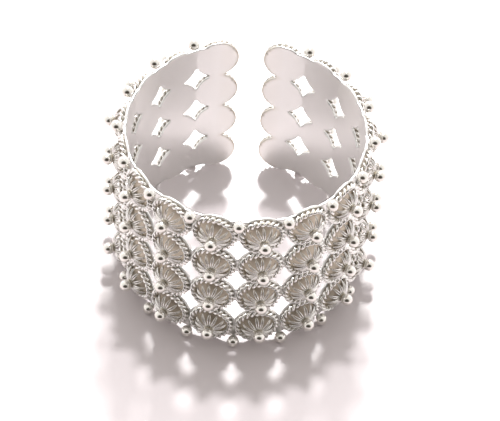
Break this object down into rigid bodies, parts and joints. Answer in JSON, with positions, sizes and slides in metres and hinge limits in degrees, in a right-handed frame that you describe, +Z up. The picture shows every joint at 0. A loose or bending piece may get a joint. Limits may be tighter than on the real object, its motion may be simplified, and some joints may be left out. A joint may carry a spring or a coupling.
{
  "type": "open filigree band ring",
  "caption": "Wide open finger ring: a pierced silver band of merged discs, each with a twisted-wire rim, a looped wire rosette and a granule on top.",
  "frame": {"origin": "on the axis of the finger hole, in the plane that the lower edge granules stand on", "axes": "+Z up along the finger hole's axis, -Y towards the front of the ring, +Y towards the opening in the band, +X to the right as seen from the front"},
  "size_m": [0.021, 0.0206, 0.0139],
  "materials": {
    "band_silver": "polished inside, oxidised in the recesses outside",
    "wire_silver": "bright twisted wire, darker between the strands",
    "granule_silver": "bright, fused smooth"
  },
  "bodies": {
    "root": {"band": "band_silver", "rims_row_1": "wire_silver", "rims_row_2": "wire_silver", "rims_row_3": "wire_silver", "rims_row_4": "wire_silver", "rosettes_row_1": "wire_silver", "rosettes_row_2": "wire_silver", "rosettes_row_3": "wire_silver", "rosettes_row_4": "wire_silver", "edge_granules_top": "granule_silver", "edge_granules_bottom": "granule_silver"}
  },
  "joints": []
}
